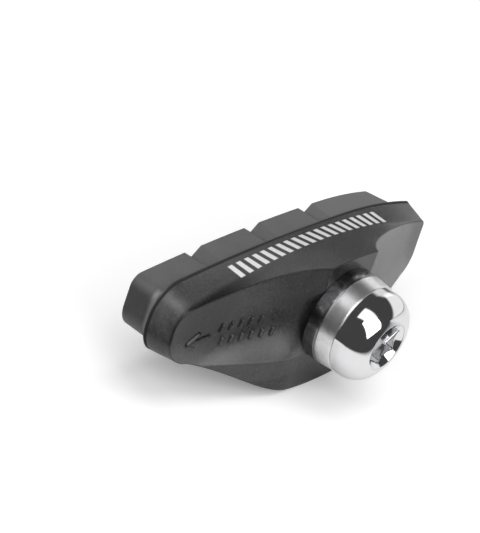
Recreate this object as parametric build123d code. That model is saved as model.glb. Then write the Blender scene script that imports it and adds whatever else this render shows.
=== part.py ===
from build123d import *
import os

# Rim brake pad: a moulded rubber shoe on a threaded steel insert, with its bolt and its pair of domed
# washers. The origin is on the bolt axis, in the end face of the shoe's boss. +Y runs to the friction face,
# -X is forward and +Z points away from the wheel's hub. Millimetres.

# Friction block
pad_depth = 14.9
block_depth = 4.4
block_length = 49.0
block_height = 8.6
block_nose_top = 1.6
block_nose_foot = 4.0
block_tail_top = 1.5
block_tail_foot = 3.9
block_root = 0.5
tail_slope = 0.5
rim_arch = 300.0
tail_arch = 80.0

# Grooves across the friction face, each a chevron that points forward
groove_count = 3
groove_pitch = 11.35
groove_mouth = 3.0
groove_root = 2.1
groove_skin = 0.4
groove_offset = -1.6
chevron_reach = 4.6

# Lip behind the block and the flare from there to the boss
lip_overhang = 1.1
lip_nose_reach = 0.9
lip_tail_reach = 3.1
lip_nose_top = 4.4
lip_nose_foot = 5.2
lip_tail_top = 1.2
lip_tail_foot = 3.6
corner_room = 0.3
flare_half_length = 24.4
flare_height = 18.8
flare_top = 8.2
flare_end_top = 1.3
flare_end_foot = 2.6
flare_corner = 1.2

# Hump in plan: a boss with a ramp on each side, wider at its foot than at its brow. Each ramp is a curve
# that a near and a far pull point bend.
brow_half_width = 4.7
brow_near_x = 6.6
brow_near_y = 3.1
brow_far_x = 14.9
brow_far_y = 5.4
foot_half_width = 5.5
foot_near_x = 11.5
foot_far_x = 17.5
foot_far_y = 5.0
ramp_end_y = 7.1
brow_level = 5.0
waist_level = 1.2
waist_share = 0.06
foot_level = -5.0

# Threaded insert
plate_length = 30.0
plate_height = 6.4
plate_thick = 1.6
plate_corner = 1.5
plate_skin = 2.4
tube_outer = 9.0
thread_size = 6.0
thread_clearance = 0.05
bore_floor = 0.6

# Washers
washer_hole = 6.6
dome_radius = 15.0
seat_outer = 13.0
seat_edge = 1.8
dish_outer = 12.9
dish_top = 12.5
dish_edge = 0.25
stack_height = 4.2

# Bolt
head_outer = 12.4
head_height = 4.1
head_round = 3.0
key_size = 5.0
key_depth = 3.0
key_lead = 0.35
bolt_end_gap = 0.6
bolt_end_chamfer = 0.7

# Places along the bolt axis that several pieces share
lip_y = pad_depth - block_depth
plate_front = lip_y - plate_skin
bore_depth = plate_front - bore_floor

# How far cuts run past the shoe, and where the ramps' curves end beyond its tips
cut_margin = 5.0
ramp_end_x = block_length / 2 + cut_margin

# Where the top edges bend down to the tail, and how far the flare reaches below the bolt axis
bend_x = block_length / 4
flare_foot = flare_height - flare_top


def back_plane(y):
    """Plane across the bolt axis at y, with its own x along X and its own y along Z."""
    return Plane((0, y, 0), x_dir=(1, 0, 0), z_dir=(0, -1, 0))


def arched_bar(nose, tail, height, rounds):
    """Bar outline from nose to tail that follows the rim, with a top that bends down to the tail. The corners'
    rounds are those of the nose's top and foot, then of the tail's."""
    def sag(x):
        return x**2 / (2 * rim_arch)

    top = height / 2
    bend = (bend_x, top - sag(bend_x))
    nose_top = (nose, top - sag(nose))
    nose_foot = (nose, -top - sag(nose))
    tail_top = (tail, top - sag(tail) - (tail - bend_x) ** 2 / (2 * tail_arch))
    tail_foot = (tail, -top - sag(tail))
    outline = make_face([
        ThreePointArc(nose_top, (0, top), bend),
        TangentArc(bend, tail_top, tangent=(rim_arch, -bend_x)),
        Line(tail_top, tail_foot),
        ThreePointArc(tail_foot, (0, -top), nose_foot),
        Line(nose_foot, nose_top),
    ])
    for (x, y), radius in zip((nose_top, nose_foot, tail_top, tail_foot), rounds):
        corner = outline.vertices().sort_by_distance((x, y, 0))[0]
        outline = fillet(corner, min(radius, top - corner_room / 2))
    return outline


def flare_outline():
    """Lens outline of the flare where it reaches the boss: two bows and short blunt ends."""
    half = flare_half_length
    bow = ThreePointArc((-half, flare_end_top), (0, flare_top), (half, flare_end_top))
    bend = (half + bend_x) / (2 * half)
    outline = make_face([
        bow.trim(0, bend),
        bow.trim(bend, 1),
        Line((half, flare_end_top), (half, -flare_end_foot)),
        ThreePointArc((half, -flare_end_foot), (0, -flare_foot), (-half, -flare_end_foot)),
        Line((-half, -flare_end_foot), (-half, flare_end_top)),
    ])
    corners = outline.vertices().sort_by(Axis.X)
    return fillet(corners[:2] + corners[-2:], flare_corner)


def hump_plan(share):
    """Hump seen from above, from its brow (share 0) to its foot (share 1)."""
    def between(brow, foot):
        return brow + (foot - brow) * share

    boss_x = between(brow_half_width, foot_half_width)
    near_x = between(brow_near_x, foot_near_x)
    near_y = between(brow_near_y, 0)
    far_x = between(brow_far_x, foot_far_x)
    far_y = between(brow_far_y, foot_far_y)
    front_y = lip_y + cut_margin
    return make_face([
        Line((-boss_x, 0), (boss_x, 0)),
        Bezier((boss_x, 0), (near_x, near_y), (far_x, far_y), (ramp_end_x, ramp_end_y)),
        Line((ramp_end_x, ramp_end_y), (ramp_end_x, front_y)),
        Line((ramp_end_x, front_y), (-ramp_end_x, front_y)),
        Line((-ramp_end_x, front_y), (-ramp_end_x, ramp_end_y)),
        Bezier((-ramp_end_x, ramp_end_y), (-far_x, far_y), (-near_x, near_y), (-boss_x, 0)),
    ])


def holder():
    """Flared body between the lip and the boss, with a coved ramp on each side of the boss."""
    nose = -block_length / 2 - lip_nose_reach
    tail = block_length / 2 + lip_tail_reach
    height = block_height + 2 * lip_overhang
    rounds = (lip_nose_top, lip_nose_foot, lip_tail_top, lip_tail_foot)
    lip = back_plane(lip_y) * arched_bar(nose, tail, height, rounds)
    flare = loft([lip, back_plane(0) * flare_outline()], ruled=True)
    top_level = flare_top + cut_margin
    sections = [(top_level, 0.0), (brow_level, 0.0), (waist_level, waist_share), (foot_level, 1.0)]
    cove = loft([Plane.XY.offset(z) * hump_plan(share) for z, share in sections])
    foot = extrude(Plane.XY.offset(foot_level) * hump_plan(1.0), -flare_foot)
    return flare & (cove + foot)


def friction_block():
    """Arched bar of rubber in front of the lip, with a splayed root and a tail that slopes out towards it."""
    def outline(y, splay):
        nose = -block_length / 2 - splay
        tail = block_length / 2 + splay + tail_slope * (pad_depth - y)
        corners = (block_nose_top, block_nose_foot, block_tail_top, block_tail_foot)
        rounds = [corner + splay for corner in corners]
        return back_plane(y) * arched_bar(nose, tail, block_height + 2 * splay, rounds)

    root_y = lip_y + block_root
    return loft([outline(lip_y, block_root), outline(root_y, 0), outline(pad_depth, 0)], ruled=True)


def groove(x):
    """Tapered chevron channel whose legs cross the block's edges at x and run on as far again."""
    def chevron(y, width):
        apex = x - chevron_reach
        tail = x + chevron_reach
        reach = block_height
        points = [
            (tail - width / 2, reach), (apex - width / 2, 0), (tail - width / 2, -reach),
            (tail + width / 2, -reach), (apex + width / 2, 0), (tail + width / 2, reach),
        ]
        return back_plane(y) * make_face(Polyline(points, close=True))

    depth = block_depth - groove_skin
    spread = (groove_mouth - groove_root) / depth
    return loft([
        chevron(pad_depth + cut_margin, groove_mouth + spread * cut_margin),
        chevron(pad_depth - depth, groove_root),
    ], ruled=True)


def insert_blank():
    """Plate and tube of the insert with no bore in it."""
    plate = RectangleRounded(plate_length, plate_height, plate_corner)
    body = extrude(back_plane(plate_front) * plate, plate_thick)
    return body + extrude(back_plane(plate_front) * Circle(tube_outer / 2), plate_front)


def threaded_insert():
    """Steel insert with a blind bore for the bolt."""
    bore = Circle(thread_size / 2 + thread_clearance)
    return insert_blank() - extrude(back_plane(bore_depth) * bore, bore_depth)


def rubber_shoe():
    """The whole moulding, hollowed for the insert."""
    shoe = holder() + friction_block()
    first = groove_offset - groove_pitch * (groove_count - 1) / 2
    for index in range(groove_count):
        shoe -= groove(first + index * groove_pitch)
    return shoe - insert_blank()


def turned(profile):
    """Solid of revolution about the bolt axis from a face in radius and distance behind the boss."""
    return revolve(Plane((0, 0, 0), x_dir=(1, 0, 0), z_dir=(0, 0, -1)) * profile, Axis.Y)


def dome_back(radius):
    """Distance behind the boss of the washers' shared dome at a radius."""
    return seat_edge + (dome_radius**2 - radius**2) ** 0.5 - (dome_radius**2 - (seat_outer / 2) ** 2) ** 0.5


def seat_washer():
    """Washer that is flat on the boss and domed towards the arm."""
    hole, outer = washer_hole / 2, seat_outer / 2
    middle = (hole + outer) / 2
    return turned(make_face([
        Line((hole, 0), (outer, 0)),
        Line((outer, 0), (outer, seat_edge)),
        ThreePointArc((outer, seat_edge), (middle, dome_back(middle)), (hole, dome_back(hole))),
        Line((hole, dome_back(hole)), (hole, 0)),
    ]))


def dished_washer():
    """Washer that is hollow against the dome and flat under the bolt's head."""
    hole, outer, top = washer_hole / 2, dish_outer / 2, dish_top / 2
    middle = (hole + outer) / 2
    return turned(make_face([
        ThreePointArc((hole, dome_back(hole)), (middle, dome_back(middle)), (outer, dome_back(outer))),
        Line((outer, dome_back(outer)), (outer, dome_back(outer) + dish_edge)),
        Line((outer, dome_back(outer) + dish_edge), (top, stack_height)),
        Line((top, stack_height), (hole, stack_height)),
        Line((hole, stack_height), (hole, dome_back(hole))),
    ]))


def fixing_bolt():
    """Button-head bolt with a hex socket, its end inside the insert's bore."""
    rim, shank = head_outer / 2, thread_size / 2
    flat = rim - head_round
    under = stack_height
    crown = under + head_height
    shoulder = crown - head_round
    end = bolt_end_gap - bore_depth
    body = turned(make_face([
        Line((0, crown), (flat, crown)),
        TangentArc((flat, crown), (rim, shoulder), tangent=(1, 0)),
        Line((rim, shoulder), (rim, under)),
        Line((rim, under), (shank, under)),
        Line((shank, under), (shank, end + bolt_end_chamfer)),
        Line((shank, end + bolt_end_chamfer), (shank - bolt_end_chamfer, end)),
        Line((shank - bolt_end_chamfer, end), (0, end)),
        Line((0, end), (0, crown)),
    ]))
    socket = RegularPolygon(key_size / 2, 6, major_radius=False, rotation=30)
    body -= extrude(back_plane(-crown) * socket, -key_depth)
    mouth = key_size / 3**0.5 + key_lead
    throat = crown - mouth + key_size / 2
    lead = Polyline((0, crown), (mouth, crown), (key_size / 2, throat), (0, throat), close=True)
    return body - turned(make_face(lead))


pieces = {
    "rubber_shoe": rubber_shoe(),
    "threaded_insert": threaded_insert(),
    "seat_washer": seat_washer(),
    "dished_washer": dished_washer(),
    "fixing_bolt": fixing_bolt(),
}

os.makedirs("parts", exist_ok=True)
for name, piece in pieces.items():
    export_step(piece, f"parts/{name}.step")
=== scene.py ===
import bmesh
import bpy
import numpy as np
from mathutils import Matrix, Vector


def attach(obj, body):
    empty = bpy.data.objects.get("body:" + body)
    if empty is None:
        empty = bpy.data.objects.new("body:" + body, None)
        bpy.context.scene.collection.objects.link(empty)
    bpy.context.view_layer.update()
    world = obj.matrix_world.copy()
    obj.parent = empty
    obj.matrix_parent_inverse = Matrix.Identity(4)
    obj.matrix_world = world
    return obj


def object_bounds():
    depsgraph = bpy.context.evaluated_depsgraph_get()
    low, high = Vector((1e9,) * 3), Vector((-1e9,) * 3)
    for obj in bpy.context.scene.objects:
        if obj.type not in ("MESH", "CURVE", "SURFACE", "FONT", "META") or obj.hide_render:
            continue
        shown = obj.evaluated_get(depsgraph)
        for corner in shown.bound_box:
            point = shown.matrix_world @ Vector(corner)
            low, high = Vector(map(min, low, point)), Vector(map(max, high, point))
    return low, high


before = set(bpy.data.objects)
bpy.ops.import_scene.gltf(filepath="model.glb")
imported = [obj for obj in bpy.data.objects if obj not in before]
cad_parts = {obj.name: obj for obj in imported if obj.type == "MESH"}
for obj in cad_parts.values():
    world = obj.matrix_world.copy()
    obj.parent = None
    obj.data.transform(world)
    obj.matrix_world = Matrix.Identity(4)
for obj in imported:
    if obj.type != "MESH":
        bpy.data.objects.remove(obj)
cad_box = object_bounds()

# The rim brake pad in metres: the bolt axis is Y, the friction face looks to +Y and the forward end is at -X.
MM = 0.001

# The camera, fitted to the photograph: it looks down on the pad's back from its forward end, and leans a little.
VIEW_AZIMUTH = -59.755
VIEW_ELEVATION = 29.894
VIEW_ROLL = 19.192
VIEW_DISTANCE = 0.49549
VIEW_AIM = (-0.00279, 0.01380, -0.00102)
VIEW_LENS = 294.48
VIEW_SENSOR = 36.0
VIEW_CLIP = 0.01

# Below, a soft edge is a place and a softness, and a soft range is two places and a softness.

# The table: half its width in metres, how grey it is to the camera and to bounced light, the glow that lifts it for
# the camera, and in millimetres where it fades to plain white
FLOOR_HALF = 3.0
FLOOR_GREY = 0.92
FLOOR_BOUNCE = 0.4
FLOOR_LIFT = 0.2
FLOOR_FAR = (240, 120)

# What polished faces mirror of the table, in millimetres: a white disc that runs on to the back right
SHEET_CENTRE = (-7, 1)
SHEET_EDGE = (28.5, 3)
SHEET_RUN_SLOPE = 0.8
SHEET_RUN = (4, 8)

# What they mirror above it, a dark room. Its bright walls are bounded by X, Y and Z of a unit vector from the pad,
# or by degrees. The skylight is a strip over the pad, bounded by how far it reaches to either side.
SKY_FILL = 0.15
ROOM_DARK = 0.06
TAIL_WALL_X, TAIL_WALL_AZIMUTH, TAIL_WALL_WHITE = (0.7, 0.04), (110, 8), 0.9
BACK_WALL_AZIMUTH, BACK_WALL_ELEVATION, BACK_WALL_WHITE = (105, 165, 8), (16, 46, 6), 0.75
BACKDROP_X, BACKDROP_Y, BACKDROP_WHITE = (0.1, 0.1), (0.47, 0.03), 1.5
SKYLIGHT_SIDE = (0.923, 0.110, 0.368)
SKYLIGHT_REACH = (-0.27, 0.18, 0.04)
SKYLIGHT_Y, SKYLIGHT_Z, SKYLIGHT_WHITE = (0.28, 0.05), (0.6, 0.05), 1.4

# Lamps: azimuth and elevation in degrees, size in metres, watts, lean in degrees, and whether polished faces mirror it
LAMP_DISTANCE = 0.6
LAMPS = {
    "window": (-13, 27, (1.1, 0.36), 3.2, -51, True),
    "top": (60, 82, (0.55, 0.55), 2.1, 0, False),
    "left": (-100, 40, (0.4, 0.4), 1.0, 0, False),
}

# Millimetres from here. The lip's plane parts the dry friction block from the satin holder.
LIP_Y = 10.5
BLOCK_Y = (LIP_Y, 0.08)
# Painted light: the friction block grows paler towards its tail, where this soft edge in X begins
BLOCK_TAIL_LIGHT_X = (9, 6)

# Marks on the rubber: painted shade in the seam under the lip, a painted highlight on the root of the block's nose, a
# paler foot of the ramps, painted bounce light on the keel below it, a painted highlight on the band's nose and the
# worn forward part of the band, the painted shade under its brow, and a painted reflection on the tail ramp
SHADED_SEAM_Y = (LIP_Y - 0.5, LIP_Y - 0.12, 0.1)
ROOT_HIGHLIGHT_X, ROOT_HIGHLIGHT_Y = (-23.8, 0.5), (LIP_Y + 0.9, 0.35)
RAMP_FOOT_Y, RAMP_FOOT_BASE_Z, RAMP_FOOT_TOP_Z = (-1, 7, 1), (-5.1, 0.1), (-3, 1.8)
RAMP_FOOT_FORWARD_X = (-15, 2)
KEEL_BOUNCE_LIGHT_Z = (-7.8, -5.1, 0.5)
BAND_Y = (6.8, LIP_Y, 0.4)
BAND_NOSE_HIGHLIGHT_X, BAND_NOSE_HIGHLIGHT_Z = (-23.2, 1.2), (-1.2, 4, 1.2)
BAND_NOSE_HIGHLIGHT_PLAIN, BAND_NOSE_HIGHLIGHT_CLOUD = 0.5, 0.7
WORN_X, WORN_Z = (-14, 4), (3, 0.7)
SHADE_X, SHADE_Y, SHADE_Z = (-13, 2.5), (5, 6.5, 0.5), (-1.4, 1)
TAIL_REFLECTION_X, TAIL_REFLECTION_Y = (14, 3), (6.2, 0.3)
SHADED_CREASE_TURN = (0.0625, 0.0625)

# How far each mark takes the rubber from its darkest tone to its palest, how much of the tone it takes away again, and
# how much rougher it is than the satin
RUBBER_DARK, RUBBER_PALE, RUBBER_SATIN = (0.008, 0.008, 0.0083), (0.125, 0.125, 0.128), 0.2
PALER = {
    "cloud": 0.12, "grain": 0.18, "block": 0.55, "block_edge_highlight_and_wear": 0.5, "block_tail_light": 0.25, "pale_ramp_foot": 0.4,
    "pale_forward_ramp_foot": 0.25, "keel_bounce_light": 0.15, "worn_band": 0.2, "tail_ramp_reflection": 0.6, "band_nose_highlight": 0.65,
}
DARKER = {"shade": 1.0, "shaded_seam": 0.9, "shaded_crease": 0.8}
ROUGHER = {"grain": 0.08, "block": 0.2, "shaded_seam": 0.6, "shaded_crease": 0.3}
ROOT_HIGHLIGHT_GREY, ROOT_HIGHLIGHT_SHARE = 0.5, 0.45
RUBBER_BUMP, RUBBER_BUMP_DEPTH = 0.2, 0.05

# White ink on the band above the ramps: one row of slanted dashes, each a share of its pitch, with a few chips
INK_Y, INK_Z = (6.5, 9.1, 0.07), (2.0, 0.05)
INK_FROM_X, INK_DASHES, INK_PITCH, INK_END = -14.2, 20, 1.55, 0.01
INK_DASH = (0.08, 0.6, 0.05)
INK_SLANT = -0.15
INK_CHIPPED = 0.6
INK_GREY = 0.75

# Noises: lumps to the millimetre, detail and roughness. Then the levels at which they turn to marks.
RUBBER_CLOUD, RUBBER_GRAIN, INK_CHIPS = (0.3, 3.0, 0.55), (3.0, 4.0, 0.7), (2.2, 3.0, 0.7)
STEEL_RINGS, STEEL_CLOUD, STEEL_REFLECTION_SPECKS = (5.0, 3.0, 0.55), (0.6, 3.0, 0.55), (1.1, 2.0, 0.5)
RUBBER_LEVEL, CHIP_LEVEL, REFLECTION_SPECK_LEVEL = (0.5, 0.25), (0.68, 0.05), (0.64, 0.12)

# Steel finishes: name, darkest and palest tone, roughness, and how strong the specks are and their grey; the specks
# are painted glints and reflections
STEEL = {
    "fixing_bolt": ("chrome", (0.74, 0.74, 0.75), (0.86, 0.86, 0.87), 0.03, 0, 0.02),
    "dished_washer": ("bright_plating", (0.68, 0.68, 0.69), (0.98, 0.98, 0.98), 0.3, 0.18, 0.05),
    "seat_washer": ("dark_steel", (0.06, 0.06, 0.065), (0.4, 0.4, 0.41), 0.2, 0.5, 0.85),
    "threaded_insert": ("insert_steel", (0.35, 0.35, 0.36), (0.5, 0.5, 0.51), 0.35, 0, 0.02),
}
STEEL_CLOUDING, STEEL_RINGING = 0.05, 0.08

# How far edges look rounded
RUBBER_ROUND, STEEL_ROUND, ROUND_SAMPLES = 0.3, 0.25, 8

# Moulded beads on the forward ramp, in X and Z: a forward arrow and two rows of slanted bars behind it
BEAD_HALF_WIDTH = 0.26
BEAD_HEIGHT = 0.28
BEAD_BLUNTNESS = 8
BEAD_STEPS, BEAD_SIDES, BEAD_WELD = 25, 16, 1e-4
ARROW_TIP = (-22.5, -2.05)
ARROW_TAIL = (-18.7, -1.1)
ARROW_BARBS = ((-20.4, -0.5), (-20.9, -2.75))
BAR_ROWS = ((-17.5, -1.0, 5), (-17.3, -2.75, 6))
BAR_STEP = (1.45, 0.13)
BAR_RUN = (0.55, 1.25)


class Wire:
    """A node socket that takes part in Python arithmetic: every operator adds one Math node to its tree."""

    def __init__(self, tree, socket=None):
        self.tree = tree
        self.socket = socket

    def add(self, kind, settings=(), inputs=(), output=0):
        """Adds any node: its settings are set first, then its sockets take values or links. Gives one output."""
        node = self.tree.nodes.new("ShaderNode" + kind)
        for key, value in dict(settings).items():
            setattr(node, key, value)
        for key, value in dict(inputs).items():
            if isinstance(value, Wire):
                self.tree.links.new(value.socket, node.inputs[key])
            else:
                node.inputs[key].default_value = value
        return Wire(self.tree, node.outputs[output]) if node.outputs else None

    def math(self, operation, *operands):
        """One Math node on numbers or wires."""
        return self.add("Math", {"operation": operation}, enumerate(operands))

    def __add__(self, other):
        return self.math("ADD", self, other)

    def __mul__(self, other):
        return self.math("MULTIPLY", self, other)

    def __sub__(self, other):
        return self.math("SUBTRACT", self, other)

    def __rsub__(self, other):
        return self.math("SUBTRACT", other, self)

    def __truediv__(self, other):
        return self.math("DIVIDE", self, other)

    __radd__ = __add__
    __rmul__ = __mul__

    def above(self, edge, soft):
        """0 below the edge and 1 above it, with a smooth step of the given softness."""
        settings = {"interpolation_type": "SMOOTHSTEP"}
        return self.add("MapRange", settings, {"Value": self, "From Min": edge - soft, "From Max": edge + soft})

    def below(self, edge, soft):
        """1 below the edge and 0 above it."""
        return 1 - self.above(edge, soft)

    def between(self, low, high, soft):
        """1 between two edges and 0 outside them."""
        return self.above(low, soft) * self.below(high, soft)

    def mix(self, low, high):
        """Colour that runs from one at 0 to another at 1."""
        return self.add("Mix", {"data_type": "RGBA"}, {0: self, 6: low, 7: high}, 2)

    def tint(self, dark, pale):
        """Mix of two plain colours."""
        return self.mix((*dark, 1), (*pale, 1))

    def over(self, colour, grey):
        """Lays a plain grey over a colour where this is 1."""
        return self.mix(colour, (grey, grey, grey, 1))


def axes(start, vector):
    """X, Y and Z of a vector."""
    return (start.add("SeparateXYZ", (), {0: vector}, axis) for axis in range(3))


def new_material(name):
    """Empty node material: its wire, its object coordinates in millimetres and a function that sets its surface."""
    material = bpy.data.materials.new(name)
    material.use_nodes = True
    tree = material.node_tree
    tree.nodes.clear()
    start = Wire(tree)
    place = start.add("TexCoord", output="Object")
    place = start.add("VectorMath", {"operation": "SCALE"}, {0: place, "Scale": 1 / MM})

    def surface(**sockets):
        inputs = {key.replace("_", " "): value for key, value in sockets.items()}
        shader = start.add("BsdfPrincipled", (), inputs)
        start.add("OutputMaterial", (), {"Surface": shader})
        return material

    return start, place, surface


def noise(start, place, scale, detail, roughness):
    """Noise from 0 to 1 with so many lumps to the millimetre."""
    return start.add("TexNoise", (), {"Vector": place, "Scale": scale, "Detail": detail, "Roughness": roughness})


def rounded(start, radius):
    """Normal of faces whose edges are rounded by a radius."""
    return start.add("Bevel", {"samples": ROUND_SAMPLES}, {"Radius": radius * MM})


def moulded_rubber():
    """Charcoal rubber, satin and fine-grained from the mould: paler and drier on the friction block, worn on the band,
    where a row of white dashes is printed, and paler towards the foot of the ramps. Painted light on it: shade in its
    seam and creases, highlights on the block's edges, tail and nose root, on the band's nose and on the tail ramp, and
    bounce light on the keel."""
    start, place, surface = new_material("moulded_rubber")
    x, y, z = axes(start, place)
    cloud = noise(start, place, *RUBBER_CLOUD).above(*RUBBER_LEVEL)
    grain = noise(start, place, *RUBBER_GRAIN).above(*RUBBER_LEVEL)
    round_edge = rounded(start, RUBBER_ROUND)
    flat = start.add("NewGeometry", output="Normal")
    edge = 1 - start.add("VectorMath", {"operation": "DOT_PRODUCT"}, {0: round_edge, 1: flat}, 1)
    block = y.above(*BLOCK_Y)
    band = y.between(*BAND_Y)
    pale_ramp_foot = y.between(*RAMP_FOOT_Y) * z.above(*RAMP_FOOT_BASE_Z) * z.below(*RAMP_FOOT_TOP_Z)
    marks = {
        "cloud": cloud,
        "grain": grain,
        "block": block,
        # Painted highlight along the block's edges, together with wear; below it, painted light towards the block's
        # tail
        "block_edge_highlight_and_wear": block * edge,
        "block_tail_light": block * x.above(*BLOCK_TAIL_LIGHT_X),
        # Paler towards the foot of the ramps, and more so on the forward ramp
        "pale_ramp_foot": pale_ramp_foot,
        "pale_forward_ramp_foot": pale_ramp_foot * x.below(*RAMP_FOOT_FORWARD_X),
        # Painted bounce light from the table on the keel
        "keel_bounce_light": z.between(*KEEL_BOUNCE_LIGHT_Z) * (1 - block),
        "worn_band": band * x.below(*WORN_X) * z.above(*WORN_Z),
        # Painted highlight on the band's nose, clouded
        "band_nose_highlight": band * x.below(*BAND_NOSE_HIGHLIGHT_X) * z.between(*BAND_NOSE_HIGHLIGHT_Z) * (BAND_NOSE_HIGHLIGHT_PLAIN + BAND_NOSE_HIGHLIGHT_CLOUD * cloud),
        # Painted reflection of the white table on the tail ramp
        "tail_ramp_reflection": x.above(*TAIL_REFLECTION_X) * y.below(*TAIL_REFLECTION_Y),
        # Painted shade: under the brow, in the seam under the lip and along the holder's creases
        "shade": x.below(*SHADE_X) * y.between(*SHADE_Y) * z.above(*SHADE_Z),
        "shaded_seam": y.between(*SHADED_SEAM_Y),
        "shaded_crease": (edge * (1 - block)).above(*SHADED_CREASE_TURN),
    }
    tone = sum(share * marks[name] for name, share in PALER.items())
    for name, share in DARKER.items():
        tone = tone * (1 - share * marks[name])
    # Painted highlight on the root of the block's nose: a pale grey laid over the rubber there
    root = block * x.below(*ROOT_HIGHLIGHT_X) * y.below(*ROOT_HIGHLIGHT_Y)
    rubber = (ROOT_HIGHLIGHT_SHARE * root).over(tone.tint(RUBBER_DARK, RUBBER_PALE), ROOT_HIGHLIGHT_GREY)

    lean = x + INK_SLANT * (y - INK_Y[0])
    span = lean.between(INK_FROM_X, INK_FROM_X + INK_DASHES * INK_PITCH, INK_END)
    dash = start.math("FRACT", (lean - INK_FROM_X) / INK_PITCH).between(*INK_DASH)
    chips = noise(start, place, *INK_CHIPS).above(*CHIP_LEVEL)
    ink = y.between(*INK_Y) * z.above(*INK_Z) * span * dash * (1 - INK_CHIPPED * chips)

    bump = {"Strength": RUBBER_BUMP, "Distance": RUBBER_BUMP_DEPTH * MM, "Height": grain, "Normal": round_edge}
    roughness = RUBBER_SATIN + sum(share * marks[name] for name, share in ROUGHER.items())
    return surface(Base_Color=ink.over(rubber, INK_GREY), Roughness=roughness, Normal=start.add("Bump", (), bump))


def plated_steel(name, dark, pale, roughness, reflection_specks, reflection_speck_grey):
    """Plated steel, turned on the bolt axis: fine rings by radius and Y, faint clouds, and soft specks of another
    grey, which are painted glints and reflections."""
    start, place, surface = new_material(name)
    x, y, z = axes(start, place)
    radius = start.math("SQRT", x * x + z * z)
    rings = noise(start, start.add("CombineXYZ", (), {0: radius, 1: y}), *STEEL_RINGS)
    cloud = noise(start, place, *STEEL_CLOUD)
    # Specks of painted glints and reflections: pale on the seat washer, dark on the dished washer
    reflection_speck = reflection_specks * noise(start, place, *STEEL_REFLECTION_SPECKS).above(*REFLECTION_SPECK_LEVEL)
    colour = reflection_speck.over(((cloud + rings) / 2).tint(dark, pale), reflection_speck_grey)
    polish = roughness + STEEL_CLOUDING * cloud + STEEL_RINGING * rings * reflection_speck
    return surface(Base_Color=colour, Metallic=1.0, Roughness=polish, Normal=rounded(start, STEEL_ROUND))


def sky_place(azimuth, elevation):
    """Unit vector from the pad to a place in the sky: azimuth 0 is behind the bolt's head, 90 beyond the tail."""
    azimuth, elevation = np.radians((azimuth, elevation))
    return Vector((np.sin(azimuth) * np.cos(elevation), -np.cos(azimuth) * np.cos(elevation), np.sin(elevation)))


def set_camera():
    """Camera at an azimuth, elevation and distance from its aim, turned about its own axis by the roll."""
    back = sky_place(VIEW_AZIMUTH, VIEW_ELEVATION)
    azimuth, roll = np.radians((VIEW_AZIMUTH, VIEW_ROLL))
    level = Vector((np.cos(azimuth), np.sin(azimuth), 0))
    upright = back.cross(level)
    right = np.cos(roll) * level + np.sin(roll) * upright
    up = back.cross(right)
    data = bpy.data.cameras.new("camera")
    data.sensor_fit = "HORIZONTAL"
    data.sensor_width = VIEW_SENSOR
    data.lens = VIEW_LENS
    data.clip_start = VIEW_CLIP
    camera = bpy.data.objects.new("camera", data)
    bpy.context.scene.collection.objects.link(camera)
    turn = Matrix((right, up, back)).transposed().to_4x4()
    camera.matrix_world = Matrix.Translation(Vector(VIEW_AIM) + VIEW_DISTANCE * back) @ turn
    bpy.context.scene.camera = camera


def softbox(name, azimuth, elevation, size, watts, lean, mirrored):
    """Area lamp at an azimuth and elevation, turned to the pad, which polished faces may mirror or not."""
    back = sky_place(azimuth, elevation)
    data = bpy.data.lights.new(name, "AREA")
    data.shape = "RECTANGLE"
    data.size, data.size_y = size
    data.energy = watts
    lamp = bpy.data.objects.new(name, data)
    turn = back.to_track_quat("Z", "Y").to_matrix().to_4x4() @ Matrix.Rotation(np.radians(lean), 4, "Z")
    lamp.matrix_world = Matrix.Translation(back * LAMP_DISTANCE) @ turn
    lamp.visible_glossy = mirrored
    bpy.context.scene.collection.objects.link(lamp)


def ray_kinds(start):
    """Whether a ray comes from the camera, and whether from a glossy face."""
    return (start.add("LightPath", output=kind) for kind in ("Is Camera Ray", "Is Glossy Ray"))


def white_table():
    """Matt white top that keeps the pad's shadow: lifted to white for the camera, and in reflections a white disc
    under the pad that runs on to the back right, with the dark room beyond it."""
    start, place, surface = new_material("white_table")
    x, y, _ = axes(start, place)
    camera, glossy = ray_kinds(start)
    centre = (*SHEET_CENTRE, cad_box[0][2] / MM)
    aside = start.add("VectorMath", {"operation": "DISTANCE"}, {0: place, 1: centre}, 1)
    beyond = aside.above(*SHEET_EDGE) * (x + SHEET_RUN_SLOPE * y).below(*SHEET_RUN)
    far = start.add("VectorMath", {"operation": "LENGTH"}, {0: place}, 1).above(*FLOOR_FAR)
    lit = FLOOR_BOUNCE + (FLOOR_GREY - FLOOR_BOUNCE) * (camera + glossy) - FLOOR_GREY * glossy * beyond
    glow = ROOM_DARK * glossy * beyond + camera * (FLOOR_LIFT + (1 - FLOOR_LIFT) * far)
    black, white = (0, 0, 0), (1, 1, 1)
    return surface(Base_Color=lit.tint(black, white), Roughness=1.0, Specular_IOR_Level=0.0,
                   Emission_Color=glow.tint(black, white), Emission_Strength=1.0)


def lay_floor():
    """White table top at the pad's lowest point."""
    level = cad_box[0][2]
    corners = [(-FLOOR_HALF, -FLOOR_HALF, level), (FLOOR_HALF, -FLOOR_HALF, level),
               (FLOOR_HALF, FLOOR_HALF, level), (-FLOOR_HALF, FLOOR_HALF, level)]
    mesh = bpy.data.meshes.new("floor")
    mesh.from_pydata(corners, [], [(0, 1, 2, 3)])
    floor = bpy.data.objects.new("floor", mesh)
    bpy.context.scene.collection.objects.link(floor)
    mesh.materials.append(white_table())


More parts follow.
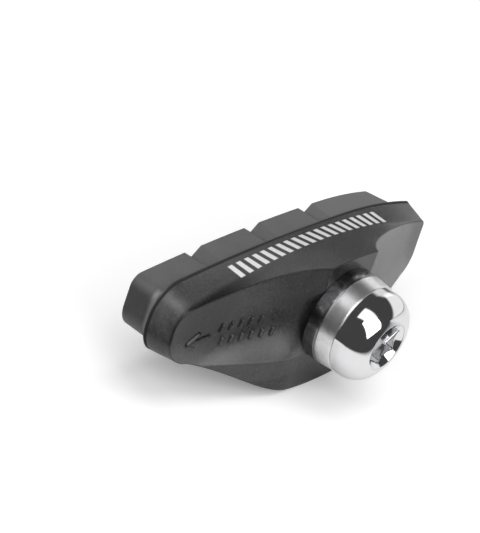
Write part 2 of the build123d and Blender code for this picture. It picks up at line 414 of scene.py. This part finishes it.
def light_world():
    """White surroundings for the camera, a dim even fill for the light, and for reflections a dark room. It has a
    wall beyond the tail, a low wall at the back right, a backdrop at the back left and a skylight."""
    world = bpy.data.worlds.new("studio")
    bpy.context.scene.world = world
    world.use_nodes = True
    tree = world.node_tree
    tree.nodes.clear()
    start = Wire(tree)
    direction = start.add("TexCoord")
    x, y, z = axes(start, direction)
    camera, glossy = ray_kinds(start)
    azimuth = np.degrees(1) * start.math("ARCTAN2", x, -1 * y)
    elevation = np.degrees(1) * start.math("ARCSINE", z)
    tail_wall = x.above(*TAIL_WALL_X) * azimuth.below(*TAIL_WALL_AZIMUTH)
    back_wall = azimuth.between(*BACK_WALL_AZIMUTH) * elevation.between(*BACK_WALL_ELEVATION)
    backdrop = y.above(*BACKDROP_Y) * x.below(*BACKDROP_X)
    across = start.add("VectorMath", {"operation": "DOT_PRODUCT"}, {0: direction, 1: SKYLIGHT_SIDE}, 1)
    skylight = across.between(*SKYLIGHT_REACH) * y.below(*SKYLIGHT_Y) * z.above(*SKYLIGHT_Z)
    room = ROOM_DARK + TAIL_WALL_WHITE * tail_wall + BACK_WALL_WHITE * back_wall
    room = room + BACKDROP_WHITE * backdrop + SKYLIGHT_WHITE * skylight
    strength = camera + (1 - camera) * (glossy * room + (1 - glossy) * SKY_FILL)
    sky = start.add("Background", (), {"Color": (1, 1, 1, 1), "Strength": strength})
    start.add("OutputWorld", (), {"Surface": sky})


def drape(places):
    """Y of the shoe's back at places in X and Z: each place is weighed against the corners of every triangle near
    the marks, and the triangle that covers it nearest to the arm gives its Y."""
    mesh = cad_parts["rubber_shoe"].data
    mesh.calc_loop_triangles()
    points = np.empty(3 * len(mesh.vertices))
    mesh.vertices.foreach_get("co", points)
    index = np.empty(3 * len(mesh.loop_triangles), int)
    mesh.loop_triangles.foreach_get("vertices", index)
    corners = points.reshape(-1, 3)[index].reshape(-1, 3, 3) / MM

    def cross(a, b):
        return a[..., 0] * b[..., 1] - a[..., 1] * b[..., 0]

    flat = corners[:, :, ::2]
    near = (flat.max(1) >= places.min(0)).all(1) & (flat.min(1) <= places.max(0)).all(1)
    near &= abs(cross(flat[:, 1] - flat[:, 0], flat[:, 2] - flat[:, 0])) > 1e-9
    corners, flat = corners[near], flat[near]
    side_a, side_b = flat[:, 1] - flat[:, 0], flat[:, 2] - flat[:, 0]
    area = cross(side_a, side_b)
    gap = places[:, None] - flat[:, 0]
    share_a = cross(gap, side_b) / area
    share_b = cross(side_a, gap) / area
    covers = (share_a >= -1e-6) & (share_b >= -1e-6) & (share_a + share_b <= 1 + 1e-6)
    y = corners[:, 0, 1]
    y = y + share_a * (corners[:, 1, 1] - y) + share_b * (corners[:, 2, 1] - y)
    return np.where(covers, y, np.inf).min(1)


def moulded_beads(name, starts, ends, material):
    """Closed beads on the shoe's back: along each straight run in X and Z goes an ellipse, half of it sunk, which
    shrinks to a point at both ends by the root of 1 - (2s - 1) to the power of the bluntness."""
    starts, ends = np.array(starts, float), np.array(ends, float)
    s = np.linspace(0, 1, BEAD_STEPS)[None, :, None]
    turn = np.linspace(0, 2 * np.pi, BEAD_SIDES, endpoint=False)[None, None, :]
    taper = np.sqrt(1 - (2 * s - 1) ** BEAD_BLUNTNESS)
    run = ends - starts
    side = run[:, ::-1] * (-1, 1) / np.linalg.norm(run, axis=1)[:, None]
    reach = BEAD_HALF_WIDTH * taper * np.cos(turn)
    x, z = (starts[:, axis, None, None] + run[:, axis, None, None] * s + side[:, axis, None, None] * reach
            for axis in range(2))
    y = drape(np.stack((x, z), -1).reshape(-1, 2)).reshape(x.shape) - BEAD_HEIGHT * taper * np.sin(turn)
    points = np.stack((x, y, z), -1) * MM
    index = np.arange(x.size).reshape(x.shape)
    beside = np.roll(index, -1, axis=2)
    quads = np.stack((index[:, :-1], index[:, 1:], beside[:, 1:], beside[:, :-1]), -1)
    mesh = bpy.data.meshes.new(name)
    mesh.from_pydata(points.reshape(-1, 3), [], quads.reshape(-1, 4))
    shell = bmesh.new()
    shell.from_mesh(mesh)
    bmesh.ops.remove_doubles(shell, verts=shell.verts, dist=BEAD_WELD * MM)
    bmesh.ops.recalc_face_normals(shell, faces=shell.faces)
    shell.to_mesh(mesh)
    shell.free()
    mesh.shade_smooth()
    mesh.materials.append(material)
    piece = bpy.data.objects.new(name, mesh)
    bpy.context.scene.collection.objects.link(piece)
    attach(piece, "root")


def wear(node, material):
    """Gives a solid its finish."""
    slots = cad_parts[node].data.materials
    slots.clear()
    slots.append(material)


bpy.context.scene.view_settings.view_transform = "Standard"
set_camera()
light_world()
lay_floor()
for name, lamp in LAMPS.items():
    softbox(name, *lamp)

rubber = moulded_rubber()
wear("rubber_shoe", rubber)
for node, finish in STEEL.items():
    wear(node, plated_steel(*finish))

moulded_beads("forward_arrow", (ARROW_TIP,) * 3, (ARROW_TAIL, *ARROW_BARBS), rubber)
bar_starts = [np.add((x, z), np.multiply(BAR_STEP, bar)) for x, z, bars in BAR_ROWS for bar in range(bars)]
moulded_beads("moulded_bars", bar_starts, np.add(bar_starts, BAR_RUN), rubber)
